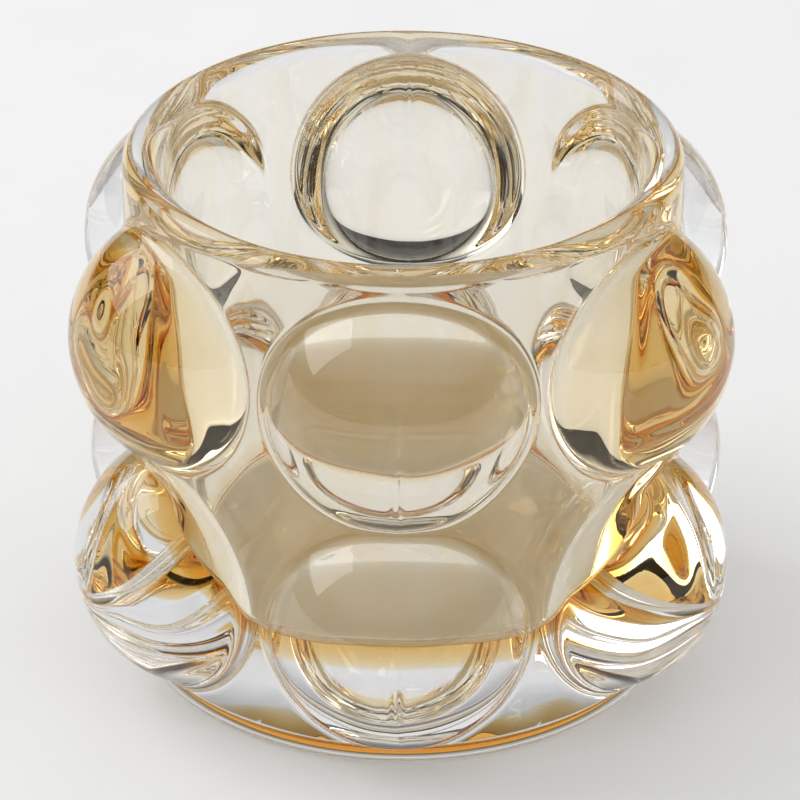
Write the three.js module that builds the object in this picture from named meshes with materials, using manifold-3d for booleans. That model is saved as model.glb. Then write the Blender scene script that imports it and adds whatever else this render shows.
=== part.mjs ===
// A tealight holder of heavy crystal: a clear cup cased over an amber lining, two rows of six round
// lens bosses fused to its wall, and a flat foot disc under it. Millimetres, +Z up. The holder rests
// on z = 0, its axis is the Z axis, and one boss of each row faces -Y.
import * as THREE from "three";
import { mergeVertices } from "three/addons/utils/BufferGeometryUtils.js";
import Module from "manifold-3d";

// Driving dimensions
const height = 77.6;
const wallRadius = 39;
const fusionGap = 0.3; // stands between two pieces that are melted together in the glass
const roundSteps = 60; // facets round the axis
const arcSteps = 4; // half the facets of each rounded edge

// The foot disc, ground flat underneath
const footRadius = 38.4;
const footHeight = 3.4;
const footEdge = 2.2;

// The cavity for the tealight, drafted so that the plunger that pressed it comes out
const mouthRadius = 34;
const floorRadius = 31;
const floorLevel = 16.5;
const floorCorner = 2;

// The amber lining, thin at the mouth and thickest under the middle of the floor
const liningAtMouth = 0.6;
const liningAtFloor = 0.8;
const liningUnderFloor = 2;
const liningDrop = 1; // how much thicker it gets toward the middle of the floor
const liningCorner = floorCorner + liningAtFloor;

// The rounded lip, a half circle as wide as the wall is thick
const lipRadius = (wallRadius - mouthRadius) / 2;
const lipLevel = height - lipRadius;
const lipMiddle = mouthRadius + lipRadius;

// The lens bosses, each an egg-round dome whose middle lies inside the wall
const bossesInRow = 6;
const bossMiddle = 33.1; // distance of the dome's middle from the axis
const bossDepth = 17;
const bossWidth = 18;
const bossHeight = 18.2;
const upperRowLevel = 55.7;
const lowerRowLevel = 20.85;
const bossSlices = 26;
const bossRings = 18;

const wasm = await Module();
wasm.setup();

const clearGlass = { color: 0xeef1ef, roughness: 0.03, metalness: 0, transparent: true, opacity: 0.45 };
const amberGlass = { color: 0xc98f2e, roughness: 0.03, metalness: 0, transparent: true, opacity: 0.75 };

function namedMesh(name, geometry, finish) {
  const mesh = new THREE.Mesh(geometry, new THREE.MeshStandardMaterial(finish));
  mesh.name = name;
  return mesh;
}

// Turns an outline of radius against height, which starts and ends on the axis, round the Z axis.
function turned(outline) {
  return new THREE.LatheGeometry(outline.getPoints(arcSteps), roundSteps).rotateX(Math.PI / 2);
}

// Where the lip's half circle stands at a given radius, as an angle at its middle.
function lipAngle(radius) {
  return Math.acos((radius - lipMiddle) / lipRadius);
}

function footDisc() {
  const outline = new THREE.Path();
  outline.moveTo(0, 0);
  outline.lineTo(footRadius - footEdge, 0);
  outline.absarc(footRadius - footEdge, footEdge, footEdge, -Math.PI / 2, 0);
  outline.lineTo(footRadius, footHeight);
  outline.lineTo(0, footHeight);
  return turned(outline);
}

// The clear cup: a solid base, a thick wall, and the inner half of the lip left to the lining.
function clearCasing() {
  const bottom = footHeight + fusionGap;
  const boreAtMouth = mouthRadius + liningAtMouth + fusionGap;
  const boreAtFloor = floorRadius + liningAtFloor + fusionGap;
  const boreBottom = floorLevel - liningUnderFloor - fusionGap;
  const boreCorner = liningCorner + fusionGap;
  const boreFlat = boreAtFloor - boreCorner;
  const outline = new THREE.Path();
  outline.moveTo(0, bottom);
  outline.lineTo(wallRadius, bottom);
  outline.absarc(lipMiddle, lipLevel, lipRadius, 0, lipAngle(boreAtMouth));
  outline.absarc(boreFlat, boreBottom + boreCorner, boreCorner, 0, -Math.PI / 2, true);
  outline.quadraticCurveTo(boreFlat / 2, boreBottom - liningDrop, 0, boreBottom - liningDrop);
  return turned(outline);
}

// The amber cup that the tealight stands in; its top edge is the inner half of the lip.
function amberLining() {
  const bottom = floorLevel - liningUnderFloor;
  const outerAtFloor = floorRadius + liningAtFloor;
  const outerAtMouth = mouthRadius + liningAtMouth;
  const outline = new THREE.Path();
  const flatRadius = outerAtFloor - liningCorner;
  outline.moveTo(0, bottom - liningDrop);
  outline.quadraticCurveTo(flatRadius / 2, bottom - liningDrop, flatRadius, bottom);
  outline.absarc(flatRadius, bottom + liningCorner, liningCorner, -Math.PI / 2, 0);
  outline.absarc(lipMiddle, lipLevel, lipRadius, lipAngle(outerAtMouth), Math.PI);
  outline.absarc(floorRadius - floorCorner, floorLevel + floorCorner, floorCorner, 0, -Math.PI / 2, true);
  outline.lineTo(0, floorLevel);
  return turned(outline);
}

function solidFrom(geometry) {
  geometry.deleteAttribute("normal");
  geometry.deleteAttribute("uv");
  const merged = mergeVertices(geometry);
  const vertProperties = merged.attributes.position.array;
  const triVerts = new Uint32Array(merged.index.array);
  return new wasm.Manifold(new wasm.Mesh({ numProp: 3, vertProperties, triVerts }));
}

function geometryFrom(solid) {
  const { vertProperties, triVerts } = solid.getMesh();
  const geometry = new THREE.BufferGeometry();
  geometry.setAttribute("position", new THREE.BufferAttribute(vertProperties, 3));
  geometry.setIndex(new THREE.BufferAttribute(triVerts, 1));
  geometry.computeVertexNormals();
  return geometry;
}

// One boss facing -Y at height 0: a dome with a hollow back that lies along the wall.
function bossDome() {
  const dome = new THREE.SphereGeometry(1, bossSlices, bossRings);
  dome.scale(bossWidth, bossDepth, bossHeight);
  dome.translate(0, -bossMiddle, 0);
  const seatRadius = wallRadius + fusionGap;
  const wall = new THREE.CylinderGeometry(seatRadius, seatRadius, 3 * bossHeight, roundSteps);
  wall.rotateX(Math.PI / 2);
  return geometryFrom(solidFrom(dome).subtract(solidFrom(wall)));
}

function rowOfBosses(rowName, level, dome) {
  const row = new THREE.Group();
  row.position.z = level;
  for (let i = 0; i < bossesInRow; i++) {
    const boss = namedMesh(`boss_${rowName}_${i + 1}`, dome, clearGlass);
    boss.rotation.z = (i * 2 * Math.PI) / bossesInRow;
    row.add(boss);
  }
  return row;
}

const dome = bossDome();
const tealightHolder = new THREE.Group();
tealightHolder.add(namedMesh("foot_disc", footDisc(), clearGlass));
tealightHolder.add(namedMesh("clear_casing", clearCasing(), clearGlass));
tealightHolder.add(namedMesh("amber_lining", amberLining(), amberGlass));
tealightHolder.add(rowOfBosses("upper", upperRowLevel, dome));
tealightHolder.add(rowOfBosses("lower", lowerRowLevel, dome));

export default tealightHolder;
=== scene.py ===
"""The looks of a crystal tealight holder: clear glass over an amber lining, on a pale studio floor.

Each gather of glass is a closed mesh of its own. Where two gathers are melted together, both end in
the same hidden face, in a finish that lets light straight through, so that the holder bends light as
the one body of glass that it really is.
"""

import math
import random

import bmesh
import bpy
import numpy as np
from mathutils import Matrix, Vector


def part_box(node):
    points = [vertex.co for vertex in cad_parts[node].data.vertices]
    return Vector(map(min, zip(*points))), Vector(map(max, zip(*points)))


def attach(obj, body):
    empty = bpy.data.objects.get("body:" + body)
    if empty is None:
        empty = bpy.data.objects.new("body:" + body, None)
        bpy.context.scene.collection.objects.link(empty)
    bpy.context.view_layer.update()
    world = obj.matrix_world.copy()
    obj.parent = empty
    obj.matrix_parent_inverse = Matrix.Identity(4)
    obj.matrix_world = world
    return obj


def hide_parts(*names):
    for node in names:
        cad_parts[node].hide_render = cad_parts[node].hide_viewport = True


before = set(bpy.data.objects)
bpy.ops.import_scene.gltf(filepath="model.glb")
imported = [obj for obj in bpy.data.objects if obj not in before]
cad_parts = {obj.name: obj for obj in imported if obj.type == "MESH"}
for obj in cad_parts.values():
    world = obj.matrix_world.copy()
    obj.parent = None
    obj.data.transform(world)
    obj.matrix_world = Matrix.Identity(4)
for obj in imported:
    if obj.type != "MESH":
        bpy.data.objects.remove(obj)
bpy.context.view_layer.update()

MM = 0.001

# Sizes read from the CAD frame.
casing_low, casing_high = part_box("clear_casing")
foot_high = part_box("foot_disc")[1]
upper_low, upper_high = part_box("boss_upper_1")
lower_low, lower_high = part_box("boss_lower_1")
HEIGHT = casing_high.z
WALL_RADIUS = casing_high.x
FOOT_RADIUS = foot_high.x
FOOT_TOP = (foot_high.z + casing_low.z) / 2
ROW_LEVELS = {"upper": (upper_low.z + upper_high.z) / 2, "lower": (lower_low.z + lower_high.z) / 2}
BOSS_REACH = -upper_low.y

# The cavity, and the lip, which is a half circle as wide as the wall is thick.
MOUTH_RADIUS = 34 * MM
FLOOR_RADIUS = 31 * MM
FLOOR_LEVEL = 16.5 * MM
FLOOR_CORNER = 2 * MM
WALL_WAIST = 0.4 * MM  # how much narrower than straight the wall is half-way down
LIP_RADIUS = (WALL_RADIUS - MOUTH_RADIUS) / 2
LIP_LEVEL = HEIGHT - LIP_RADIUS

# The amber lining: its thickness at each level, and what is added toward the middle of the floor.
LINING_AT_MOUTH = 0.4 * MM
LINING_AT_MIDDLE = 0.65 * MM
LINING_AT_CORNER = 0.4 * MM
LINING_AT_FLOOR = 2.0 * MM
LINING_DROP = 1.0 * MM
LINING_MIDDLE = 0.6 * HEIGHT
LINING_TOP = LIP_LEVEL + 0.3 * LIP_RADIUS
CLEAR_SKIN = 0.05 * MM  # polished glass between the lining's colour and the cavity

# The bosses, and how softly they run into the wall.
BOSSES_IN_ROW = 6
BOSS_PITCH = 2 * math.pi / BOSSES_IN_ROW
BOSS_DEPTH = 17 * MM
BOSS_MIDDLE = BOSS_REACH - BOSS_DEPTH
BOSS_WIDTH = 18.0 * MM
BOSS_HEIGHT = 18.2 * MM
FILLET = 1.6 * MM
SEAT_RADIUS = WALL_RADIUS + FILLET / 4  # where the soft run puts the wall's face under a boss

# The foot, and the flat joint where the casing is melted to it.
FOOT_EDGE = 2.2 * MM
FOOT_CREASE = 0.5 * MM
SHOULDER_TURN = 80  # degrees of the foot's upper edge, which then runs in to the joint
JOINT_RADIUS = WALL_RADIUS - 1.2 * MM
FOOT_JOINT = [(JOINT_RADIUS, FOOT_TOP), (WALL_RADIUS / 2, FOOT_TOP), (0, FOOT_TOP)]

# The marks that the mould left on the outer face.
SEAM_HEIGHT = 0.15 * MM
SEAM_WIDTH = 0.5 * MM
RIPPLE = 0.012 * MM
RIPPLE_SEED = 5
RIPPLE_WAVES = 9
RIPPLE_TURNS = (9, 24)
RIPPLE_RISE = (-500, 500)  # radians for each metre of height
RIPPLE_FADE = 4 * MM  # the ripple and the seams die out this close to the lip and the foot

# How finely the glass is divided.
SIDE_STEPS = 48  # along each side of a boss's cell, so the holder has 6 times as many round it
CELL_RINGS = 20
CELL_CROWDING = 1.5  # above 1, the rings of a cell crowd toward its boss
DOME_RINGS = 36
SEAT_RINGS = 6
LIP_STEPS = 25
WALL_STEPS = 24
CORNER_STEPS = 16
FLOOR_STEPS = 16
FOOT_EDGE_STEPS = 9
CREASE_STEPS = 5
HALVINGS = 40  # when a face is found by halving
MERGE_DISTANCE = 0.0001 * MM  # points of two sheets this close are one point

CLEAR, FUSED = 0, 1  # material places on every clear piece

# Finishes. A noise has a scale in waves for each metre, and its colours are (value, colour) stops.
CRYSTAL_IOR = 1.52
SWELL_SCALE = 55
SWELL_HEIGHT = 0.06 * MM
CRYSTAL_TINTS = ((0.3, (0.95, 0.956, 0.968)), (0.8, (0.92, 0.93, 0.945)))
MARK_SCALE = 700
MARK_ROUGHNESS = ((0.55, (0, 0, 0)), (0.9, (0.04, 0.04, 0.04)))
AMBER_COLOUR = (0.94, 0.70, 0.1)
AMBER_DENSITY = 250  # for each metre of amber that light goes through
CORD_SCALE = 260
CORD_STRETCH = (1, 1, 0.12)  # the cords stand upright
CORD_TINTS = ((0.35, (1, 1, 1)), (0.75, (0.99, 0.97, 0.92)))
FLOOR_SCALE = 40
FLOOR_GREYS = ((0.3, (0.77, 0.77, 0.77)), (0.7, (0.79, 0.79, 0.79)))
FLOOR_ROUGHNESS = 0.9
# painted light: the floor's glow fills in the holder's shadow on it and lights the glass from beneath
FLOOR_FILL_GLOW = 0.2

# The studio, in metres and watts.
FLOOR_SIZE = 24
FLOOR_LOWERED = 0.1 * MM  # keeps the floor and the foot's underside apart
HORIZON_LIGHT = 0.02
HORIZON_TOP = 0.28  # as the sine of the angle above the table
SKY_LIGHT = 0.75
SKY_BOTTOM = 0.55  # as the sine of the angle above the table
SOFTBOX_PLACE = Vector((-1.64, 0.44, 1.32))
SOFTBOX_SIZE = (1.8, 1.5)
SOFTBOX_POWER = 22

# The viewpoint: how far off, how high above the table and how far round to the right it is.
VIEW_DISTANCE = 0.7555
VIEW_ELEVATION = math.radians(29.1)
VIEW_ASIDE = math.radians(1.2)
VIEW_AIM = Vector((0, 0, 37.15 * MM))
SENSOR_WIDTH = 36  # in millimetres, as the focal length is
FOCAL_LENGTH = 239.5
LENS_SHIFT = -0.0042  # as a share of the picture's width


# ---------------------------------------------------------------- shape of the glass


def blended(a, b, width):
    """The smaller of two distances, with a soft change-over of the given width."""
    share = np.clip(0.5 + 0.5 * (b - a) / width, 0, 1)
    return b * (1 - share) + a * share - width * share * (1 - share)


def distance_to_boss(radius, angle, z, boss_angle, level):
    """How far a point lies outside one egg-round boss, roughly, and below zero inside it."""
    along = radius * np.cos(angle - boss_angle) - BOSS_MIDDLE
    across = radius * np.sin(angle - boss_angle)
    up = z - level
    scaled = np.sqrt((along / BOSS_DEPTH) ** 2 + (across / BOSS_WIDTH) ** 2 + (up / BOSS_HEIGHT) ** 2)
    slope = np.sqrt(
        (along / BOSS_DEPTH**2) ** 2 + (across / BOSS_WIDTH**2) ** 2 + (up / BOSS_HEIGHT**2) ** 2
    )
    return scaled * (scaled - 1) / np.maximum(slope, np.finfo(float).tiny)


def distance_to_glass(radius, angle, z):
    """How far a point lies outside the wall and its bosses; angle 0 is the middle of a boss."""
    nearest = radius - WALL_RADIUS
    for level in ROW_LEVELS.values():
        for neighbour in (-BOSS_PITCH, 0, BOSS_PITCH):
            nearest = blended(nearest, distance_to_boss(radius, angle, z, neighbour, level), FILLET)
    return nearest


def outer_radius(angle, z):
    """The radius of the outer face at an angle and a height, found by halving."""
    inside = np.full(angle.shape, WALL_RADIUS - FILLET)
    outside = np.full(angle.shape, BOSS_REACH + FILLET)
    for _ in range(HALVINGS):
        middle = (inside + outside) / 2
        is_outside = distance_to_glass(middle, angle, z) > 0
        outside = np.where(is_outside, middle, outside)
        inside = np.where(is_outside, inside, middle)
    return (inside + outside) / 2


def placed(radius, angle, z):
    """Points at a radius, an angle from the -Y direction and a height."""
    radius, angle, z = np.broadcast_arrays(radius, angle, z)
    return np.stack([radius * np.sin(angle), -radius * np.cos(angle), z], axis=-1)


def ripple_waves():
    """Slow waves round and up the glass, as it set in the mould: turns round it, rise and start."""
    draw = random.Random(RIPPLE_SEED)
    return [
        (draw.randint(*RIPPLE_TURNS), draw.uniform(*RIPPLE_RISE), draw.uniform(0, 2 * math.pi))
        for _ in range(RIPPLE_WAVES)
    ]


def moulded(radius, angle, z):
    """Points of the outer face, with the mould's two seams and the faint ripple of set glass."""
    waves = sum(np.sin(turns * angle + rise * z + start) for turns, rise, start in ripple_waves())
    calm = np.clip(np.minimum(LIP_LEVEL - z, z - FOOT_TOP - FOOT_CREASE) / RIPPLE_FADE, 0, 1)
    from_seam = WALL_RADIUS * np.abs(np.sin(angle))
    seam = SEAM_HEIGHT * np.exp(-((from_seam / SEAM_WIDTH) ** 2))
    return placed(radius + calm * (RIPPLE * waves + seam), angle, z)


def cell_edge(level, bottom, top):
    """Angles, heights and turns round the edge of the cell that one boss has on the wall."""
    steps = np.linspace(-1, 1, SIDE_STEPS, endpoint=False)
    ones = np.ones(SIDE_STEPS)
    across = np.concatenate([steps, ones, -steps, -ones])
    up = np.concatenate([-ones, steps, ones, -steps])
    heights = level + np.where(up > 0, up * (top - level), up * (level - bottom))
    return across * BOSS_PITCH / 2, heights, np.arctan2(up, across)


def boss_rim(level, turn):
    """Angles and heights of the line where a boss meets the wall, at each turn round the boss."""
    depth, width, tall = (size + FILLET / 4 for size in (BOSS_DEPTH, BOSS_WIDTH, BOSS_HEIGHT))

    def left_over(angle):
        """What the width at an angle leaves for the height, as a square; below zero past the boss."""
        along = (SEAT_RADIUS * np.cos(angle) - BOSS_MIDDLE) / depth
        across = SEAT_RADIUS * np.sin(angle) / width
        return 1 - along**2 - across**2

    low, high = 0.0, BOSS_PITCH / 2
    for _ in range(HALVINGS):
        middle = (low + high) / 2
        low, high = (middle, high) if left_over(middle) > 0 else (low, middle)
    angle = low * np.cos(turn)
    return angle, level + tall * np.sqrt(np.maximum(left_over(angle), 0)) * np.sign(np.sin(turn))


def boss_cell(row):
    """Loops of radius, angle and height for the wall round one boss, its dome and its seat."""
    level = ROW_LEVELS[row]
    middle = (ROW_LEVELS["upper"] + ROW_LEVELS["lower"]) / 2
    bottom, top = (middle, LIP_LEVEL) if row == "upper" else (FOOT_TOP + FOOT_CREASE, middle)
    edge_angle, edge_z, turn = cell_edge(level, bottom, top)
    rim_angle, rim_z = boss_rim(level, turn)

    out = (np.linspace(0, 1, CELL_RINGS) ** CELL_CROWDING)[:, None]
    wall_angle = rim_angle + (edge_angle - rim_angle) * out
    wall_z = rim_z + (edge_z - rim_z) * out
    wall = (outer_radius(wall_angle, wall_z), wall_angle, wall_z)

    inward = np.cos(np.linspace(0, math.pi / 2, DOME_RINGS))[:, None]
    dome_angle, dome_z = rim_angle * inward, level + (rim_z - level) * inward
    dome = (outer_radius(dome_angle, dome_z), dome_angle, dome_z)

    inward = np.linspace(1, 0, SEAT_RINGS)[:, None]
    seat_radius = np.full((SEAT_RINGS, len(turn)), SEAT_RADIUS)
    seat_radius[0] = dome[0][0]  # the seat starts from the dome's own edge
    seat = (seat_radius, rim_angle * inward, level + (rim_z - level) * inward)
    return {"wall": wall, "dome": dome, "seat": seat}


def angles_across():
    """The angles of one cell's points, from the middle of its boss."""
    return np.linspace(-BOSS_PITCH / 2, BOSS_PITCH / 2, SIDE_STEPS, endpoint=False)


def angles_round():
    """The angles of the points of every cell, once round the holder."""
    return np.concatenate([angles_across() + BOSS_PITCH * i for i in range(BOSSES_IN_ROW)])


def turned(outline):
    """Loops of an outline of (radius, height) pairs turned round the axis, matched to the cells."""
    radii, heights = np.array(outline).T
    return placed(radii[:, None], angles_round(), heights[:, None])


def arc(middle_radius, middle_z, size, start, end, steps):
    """Points of a round edge, with the angles in degrees from straight outwards."""
    turns = np.radians(np.linspace(start, end, steps))
    return [(middle_radius + size * math.cos(t), middle_z + size * math.sin(t)) for t in turns]


def line(start, end, steps):
    """Points along a straight stretch, the ends included."""
    return [tuple(point) for point in np.linspace(start, end, steps)]


# ---------------------------------------------------------------- building meshes


def glass_piece(name, sheets, materials):
    """One closed mesh from sheets of closed loops, each given as (loops, material place)."""
    points, faces, places = [], [], []
    for loops, place in sheets:
        first = sum(len(p) for p in points)
        rows, count = loops.shape[:2]
        index = first + np.arange(rows * count).reshape(rows, count)
        after = np.roll(index, -1, axis=1)
        quads = np.stack([index[:-1], after[:-1], after[1:], index[1:]], axis=-1).reshape(-1, 4)
        points.append(loops.reshape(-1, 3))
        faces.append(quads)
        places.append(np.full(len(quads), place))
    mesh = bpy.data.meshes.new(name)
    mesh.from_pydata(np.concatenate(points).tolist(), [], np.concatenate(faces).tolist())
    mesh.polygons.foreach_set("material_index", np.concatenate(places))
    for material in materials:
        mesh.materials.append(material)
    shape = bmesh.new()
    shape.from_mesh(mesh)
    bmesh.ops.remove_doubles(shape, verts=shape.verts, dist=MERGE_DISTANCE)
    bmesh.ops.recalc_face_normals(shape, faces=shape.faces)
    for face in shape.faces:
        face.smooth = True
    for edge in shape.edges:
        edge.smooth = len({face.material_index for face in edge.link_faces}) == 1
    shape.to_mesh(mesh)
    shape.free()
    piece = bpy.data.objects.new(name, mesh)
    bpy.context.scene.collection.objects.link(piece)
    return piece


def stands_for(piece, node):
    """Puts the piece under the root body as the looks of one CAD node, and hides that node."""
    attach(piece, "root")
    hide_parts(node)


# ---------------------------------------------------------------- materials


def principled(name):
    """A new material and its Principled shader."""
    material = bpy.data.materials.new(name)
    material.use_nodes = True
    return material, material.node_tree.nodes["Principled BSDF"]


def noise(material, scale, detail, stretch=(1, 1, 1)):
    """The value of a procedural noise that runs through the piece."""
    nodes, links = material.node_tree.nodes, material.node_tree.links
    place = nodes.new("ShaderNodeTexCoord")
    shape = nodes.new("ShaderNodeMapping")
    shape.inputs["Scale"].default_value = stretch
    texture = nodes.new("ShaderNodeTexNoise")
    texture.inputs["Scale"].default_value = scale
    texture.inputs["Detail"].default_value = detail
    links.new(place.outputs["Object"], shape.inputs["Vector"])
    links.new(shape.outputs["Vector"], texture.inputs["Vector"])
    return texture.outputs["Fac"]


def ramp(material, source, stops):
    """Colours for the values of a noise, as (value, (red, green, blue)) stops."""
    colours = material.node_tree.nodes.new("ShaderNodeValToRGB")
    for element, (value, colour) in zip(colours.color_ramp.elements, stops):
        element.position = value
        element.color = (*colour, 1)
    material.node_tree.links.new(source, colours.inputs["Fac"])
    return colours.outputs["Color"]


def crystal():
    """Colourless crystal: its face swells slowly and has faint marks of handling."""
    material, shader = principled("clear_crystal")
    shader.inputs["IOR"].default_value = CRYSTAL_IOR
    shader.inputs["Transmission Weight"].default_value = 1
    nodes, links = material.node_tree.nodes, material.node_tree.links

    marks = ramp(material, noise(material, MARK_SCALE, detail=1), MARK_ROUGHNESS)
    links.new(marks, shader.inputs["Roughness"])

    swells = noise(material, SWELL_SCALE, detail=0)
    links.new(ramp(material, swells, CRYSTAL_TINTS), shader.inputs["Base Color"])
    swell = nodes.new("ShaderNodeBump")
    swell.inputs["Distance"].default_value = SWELL_HEIGHT
    links.new(swells, swell.inputs["Height"])
    links.new(swell.outputs["Normal"], shader.inputs["Normal"])
    return material


def fused_joint():
    """The hidden face between two gathers that are melted together: light goes straight on."""
    material, shader = principled("fused_joint")
    shader.inputs["Alpha"].default_value = 0
    return material


def amber():
    """Colour inside the crystal. Its IOR of 1 is measured against the clear glass round it."""
    material, shader = principled("amber_glass")
    shader.inputs["Roughness"].default_value = 0
    shader.inputs["IOR"].default_value = 1
    shader.inputs["Transmission Weight"].default_value = 1
    nodes, links = material.node_tree.nodes, material.node_tree.links
    cords = noise(material, CORD_SCALE, detail=1, stretch=CORD_STRETCH)
    links.new(ramp(material, cords, CORD_TINTS), shader.inputs["Base Color"])
    absorption = nodes.new("ShaderNodeVolumeAbsorption")
    absorption.inputs["Color"].default_value = (*AMBER_COLOUR, 1)
    absorption.inputs["Density"].default_value = AMBER_DENSITY
    links.new(absorption.outputs["Volume"], nodes["Material Output"].inputs["Volume"])
    return material


def pale_floor():
    """Matt paper with a painted glow, a little light of its own that softens the holder's shadow on it
    and lights the glass from below.
    """
    material, shader = principled("pale_floor")
    paper = ramp(material, noise(material, FLOOR_SCALE, detail=2), FLOOR_GREYS)
    material.node_tree.links.new(paper, shader.inputs["Base Color"])
    shader.inputs["Roughness"].default_value = FLOOR_ROUGHNESS
    # painted fill light: the floor glows to soften the shadow on it and to light the glass above it
    shader.inputs["Emission Color"].default_value = (1, 1, 1, 1)
    shader.inputs["Emission Strength"].default_value = FLOOR_FILL_GLOW
    shader.inputs["Specular IOR Level"].default_value = 0
    return material


# ---------------------------------------------------------------- the holder


def cavity_outline():
    """The cavity from the lip to the middle of its floor, as (radius, height) pairs."""
    middle = (FLOOR_RADIUS - FLOOR_CORNER, FLOOR_LEVEL + FLOOR_CORNER)
    # The corner starts where the straight line from the lip just touches it.
    across, up = MOUTH_RADIUS - middle[0], LIP_LEVEL - middle[1]
    start = math.degrees(math.atan2(up, across) - math.acos(FLOOR_CORNER / math.hypot(across, up)))
    corner = arc(*middle, FLOOR_CORNER, start, -90, CORNER_STEPS)
    wall = []
    for step, (radius, height) in enumerate(line((MOUTH_RADIUS, LIP_LEVEL), corner[0], WALL_STEPS)):
        waist = WALL_WAIST * math.sin(math.pi * step / (WALL_STEPS - 1))
        wall.append((radius - waist, height))
    flat = line(corner[-1], (0, FLOOR_LEVEL), FLOOR_STEPS)
    return wall + corner[1:] + flat[1:]


def offset_outline(outline, depths):
    """The outline moved into the glass, each point by its own depth."""
    path = np.array(outline)
    along = np.gradient(path, axis=0)
    along /= np.linalg.norm(along, axis=1)[:, None]
    into_glass = np.stack([-along[:, 1], along[:, 0]], axis=1)
    moved = path + into_glass * np.array(depths)[:, None]
    moved[-1, 0] = 0  # the last point stays on the axis
    return moved.tolist()


def crease_loops():
    """The round crease from the lower edge of the wall and its bosses in to the foot's joint."""
    edge = outer_radius(angles_across(), np.full(SIDE_STEPS, FOOT_TOP + FOOT_CREASE))
    edge = np.tile(edge, BOSSES_IN_ROW)
    turns = np.linspace(0, math.pi / 2, CREASE_STEPS)[:, None]
    radii = JOINT_RADIUS + (edge - JOINT_RADIUS) * np.cos(turns)
    return placed(radii, angles_round(), FOOT_TOP + FOOT_CREASE * (1 - np.sin(turns)))


def outer_sheet(loops, turn, place):
    """A sheet of the outer face or of a seat, from a cell's loops turned round the axis."""
    radius, angle, z = loops
    return moulded(radius, angle + turn, z), place


def casing_piece(cells, materials):
    """The clear cup: its wall round the bosses, the seats under them, the lip, cavity and base."""
    sheets = []
    for cell in cells.values():
        for i in range(BOSSES_IN_ROW):
            sheets.append(outer_sheet(cell["wall"], i * BOSS_PITCH, CLEAR))
            sheets.append(outer_sheet(cell["seat"], i * BOSS_PITCH, FUSED))
    lip = arc(MOUTH_RADIUS + LIP_RADIUS, LIP_LEVEL, LIP_RADIUS, 0, 180, LIP_STEPS)
    sheets.append((turned(lip + cavity_outline()[1:]), CLEAR))
    sheets.append((crease_loops(), CLEAR))
    sheets.append((turned(FOOT_JOINT), FUSED))
    return glass_piece("clear_casing_glass", sheets, materials)


def boss_piece(name, cell, turn, materials):
    """One lens boss: its dome, closed by the seat that is melted to the wall."""
    sheets = [outer_sheet(cell["dome"], turn, CLEAR), outer_sheet(cell["seat"], turn, FUSED)]
    return glass_piece(name, sheets, materials)


def foot_piece(materials):
    """The foot disc: ground flat under, with a rounded edge, and melted to the casing above."""
    side = arc(FOOT_RADIUS - FOOT_EDGE, FOOT_EDGE, FOOT_EDGE, -90, 0, FOOT_EDGE_STEPS)
    shoulder_place = (FOOT_RADIUS - FOOT_CREASE, FOOT_TOP - FOOT_CREASE)
    shoulder = arc(*shoulder_place, FOOT_CREASE, 0, SHOULDER_TURN, CREASE_STEPS)
    outline = [(0, 0)] + side + shoulder + FOOT_JOINT[:1]
    sheets = [(turned(outline), CLEAR), (turned(FOOT_JOINT), FUSED)]
    return glass_piece("foot_disc_glass", sheets, materials)


def lining_piece(material):
    """The amber lining, a cup just under the skin of the cavity that gets thicker under the floor."""
    cavity = cavity_outline()
    radii, heights = np.array(cavity).T
    levels = [FLOOR_LEVEL, FLOOR_LEVEL + FLOOR_CORNER, LINING_MIDDLE, LIP_LEVEL]
    depths_at_levels = [LINING_AT_FLOOR, LINING_AT_CORNER, LINING_AT_MIDDLE, LINING_AT_MOUTH]
    depths = np.interp(heights, levels, depths_at_levels)
    depths += LINING_DROP * np.maximum(0, 1 - (radii / (FLOOR_RADIUS - FLOOR_CORNER)) ** 2)
    inner = offset_outline(cavity, np.full(len(cavity), CLEAR_SKIN))
    outer = offset_outline(cavity, depths)
    top = (MOUTH_RADIUS + LINING_AT_MOUTH / 2, LINING_TOP)
    outline = inner[::-1] + [top] + outer
    return glass_piece("amber_lining_glass", [(turned(outline), CLEAR)], [material])


def build_holder():
    """Every piece of glass, each in the place of its CAD node."""
    clear_materials = [crystal(), fused_joint()]
    cells = {row: boss_cell(row) for row in ROW_LEVELS}
    stands_for(casing_piece(cells, clear_materials), "clear_casing")
    stands_for(foot_piece(clear_materials), "foot_disc")
    stands_for(lining_piece(amber()), "amber_lining")
    for row, cell in cells.items():
        for i in range(BOSSES_IN_ROW):
            boss = boss_piece(f"boss_{row}_{i + 1}_glass", cell, i * BOSS_PITCH, clear_materials)
            stands_for(boss, f"boss_{row}_{i + 1}")


# ---------------------------------------------------------------- studio


def floor():
    """The table that the holder stands on."""
    size = FLOOR_SIZE / 2
    mesh = bpy.data.meshes.new("studio_floor")
    corners = [(-size, -size, 0), (size, -size, 0), (size, size, 0), (-size, size, 0)]
    mesh.from_pydata(corners, [], [(0, 1, 2, 3)])
    mesh.materials.append(pale_floor())
    plane = bpy.data.objects.new("studio_floor", mesh)
    plane.location.z = -FLOOR_LOWERED
    bpy.context.scene.collection.objects.link(plane)


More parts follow.
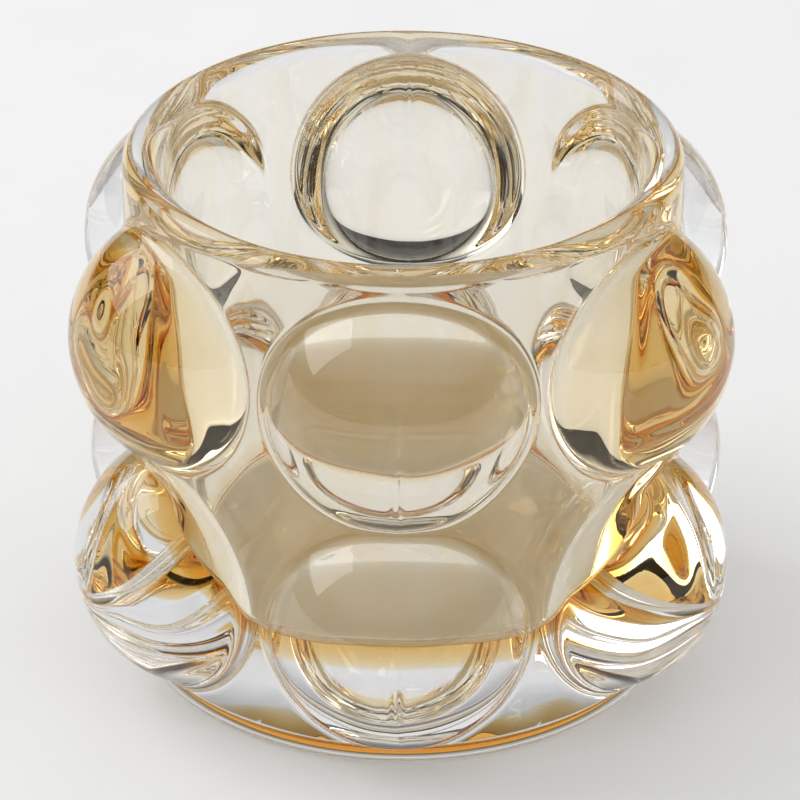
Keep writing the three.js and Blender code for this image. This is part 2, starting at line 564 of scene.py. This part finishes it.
def studio_world():
    """A soft sky that is dark at the horizon and pale overhead."""
    world = bpy.data.worlds.new("studio")
    bpy.context.scene.world = world
    world.use_nodes = True
    nodes, links = world.node_tree.nodes, world.node_tree.links
    direction = nodes.new("ShaderNodeTexCoord")
    parts = nodes.new("ShaderNodeSeparateXYZ")
    sky = nodes.new("ShaderNodeValToRGB")
    links.new(direction.outputs["Generated"], parts.inputs["Vector"])
    links.new(parts.outputs["Z"], sky.inputs["Fac"])
    links.new(sky.outputs["Color"], nodes["Background"].inputs["Color"])
    low, high = sky.color_ramp.elements
    low.position, low.color = HORIZON_TOP, (*(HORIZON_LIGHT,) * 3, 1)
    high.position, high.color = SKY_BOTTOM, (*(SKY_LIGHT,) * 3, 1)


def softbox():
    """The big lamp whose reflection stands at the left of every boss."""
    lamp = bpy.data.lights.new("softbox", "AREA")
    lamp.shape = "RECTANGLE"
    lamp.size, lamp.size_y = SOFTBOX_SIZE
    lamp.energy = SOFTBOX_POWER
    place = bpy.data.objects.new("softbox", lamp)
    place.location = SOFTBOX_PLACE
    place.rotation_euler = (-SOFTBOX_PLACE).to_track_quat("-Z", "Y").to_euler()
    bpy.context.scene.collection.objects.link(place)


def camera():
    """The photo's viewpoint."""
    lens = bpy.data.cameras.new("camera")
    lens.sensor_width = SENSOR_WIDTH
    lens.lens = FOCAL_LENGTH
    lens.shift_x = LENS_SHIFT
    lens.clip_start = 10 * MM
    eye = bpy.data.objects.new("camera", lens)
    flat = VIEW_DISTANCE * math.cos(VIEW_ELEVATION)
    rise = VIEW_DISTANCE * math.sin(VIEW_ELEVATION)
    eye.location = VIEW_AIM + Vector((flat * math.sin(VIEW_ASIDE), -flat * math.cos(VIEW_ASIDE), rise))
    eye.rotation_euler = (math.pi / 2 - VIEW_ELEVATION, 0, VIEW_ASIDE)
    bpy.context.scene.collection.objects.link(eye)
    bpy.context.scene.camera = eye


def light_paths():
    """Enough bounces for light to cross every layer of the glass."""
    cycles = bpy.context.scene.cycles
    cycles.max_bounces = 32
    cycles.transmission_bounces = 32
    cycles.glossy_bounces = 16
    cycles.transparent_max_bounces = 64
    bpy.context.scene.view_settings.view_transform = "Standard"


build_holder()
floor()
studio_world()
softbox()
camera()
light_paths()
